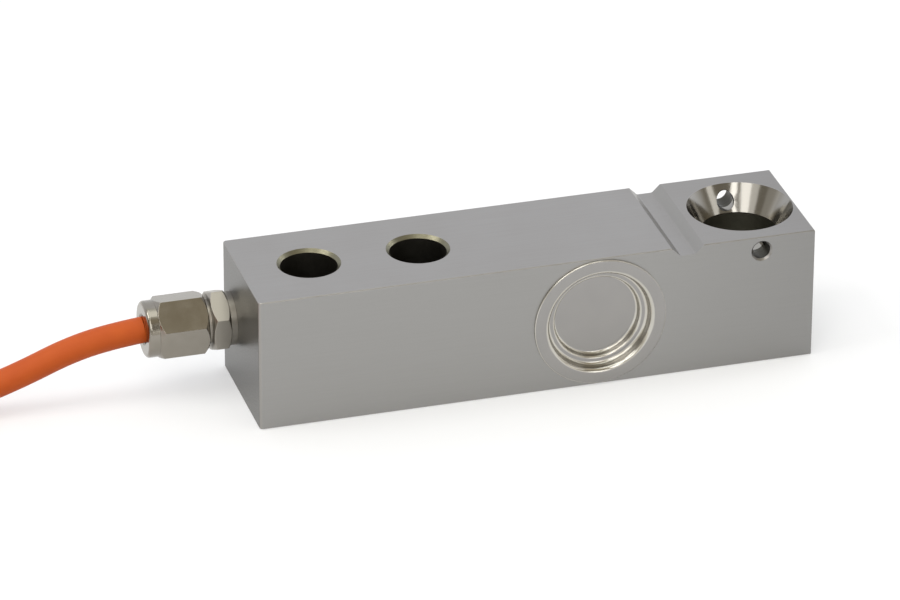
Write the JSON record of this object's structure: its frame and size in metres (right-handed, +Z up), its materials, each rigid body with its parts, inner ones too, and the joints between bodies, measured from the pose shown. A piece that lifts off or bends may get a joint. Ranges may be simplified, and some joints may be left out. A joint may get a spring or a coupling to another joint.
{
  "type": "shear beam load cell",
  "caption": "Shear beam load cell: square steel beam with fixing holes, a countersunk load hole, sealing cups in its sides, and a screened cable from a gland.",
  "frame": {"origin": "centre of the two fixing holes, on the base face", "axes": "+X along the beam from the cable end to the load hole, +Y across it, +Z up along the fixing holes and the load hole"},
  "size_m": [0.3655, 0.0554, 0.0318],
  "materials": {
    "beam_steel": "ground satin",
    "cup_steel": "pressed, polished",
    "gland_plate": "nickel plated brass",
    "washer_brass": "turned",
    "seal_rubber": "moulded",
    "cable_jacket": "matt extruded",
    "shrink_sleeve": "shrunk tube",
    "tie_nylon": "woven band",
    "gauge_film": "amber film",
    "gauge_foil": "etched foil",
    "circuit_board": "printed circuit",
    "terminal_strip": "glass epoxy",
    "resistor_body": "glazed chip",
    "lead_wire": "tinned copper",
    "potting": "cast compound",
    "red_insulation": "extruded",
    "black_insulation": "extruded",
    "green_insulation": "extruded",
    "white_insulation": "extruded"
  },
  "bodies": {
    "root": {"beam": "beam_steel", "front_sealing_cup": "cup_steel", "rear_sealing_cup": "cup_steel", "front_gauge_film": "gauge_film", "rear_gauge_film": "gauge_film", "front_gauge_grids": "gauge_foil", "rear_gauge_grids": "gauge_foil", "front_terminal_strip": "terminal_strip", "bridge_board": "circuit_board", "bridge_resistors": "resistor_body", "front_gauge_leads": "lead_wire", "rear_gauge_leads": "lead_wire", "bridge_link_wires": "lead_wire", "gland_body": "gland_plate", "gland_o_ring": "seal_rubber", "gland_nut": "gland_plate", "cable_seal": "seal_rubber", "clamp_washer": "washer_brass", "cable_in_gland": "cable_jacket", "port_potting": "potting", "cable_run": "cable_jacket", "cable_hank": "cable_jacket", "hank_ties": "tie_nylon", "end_sleeve": "shrink_sleeve", "shield_drain_wire": "lead_wire", "tinned_core_tips": "lead_wire", "red_core": "red_insulation", "red_core_end": "red_insulation", "black_core": "black_insulation", "black_core_end": "black_insulation", "green_core": "green_insulation", "green_core_end": "green_insulation", "white_core": "white_insulation", "white_core_end": "white_insulation"}
  },
  "joints": []
}
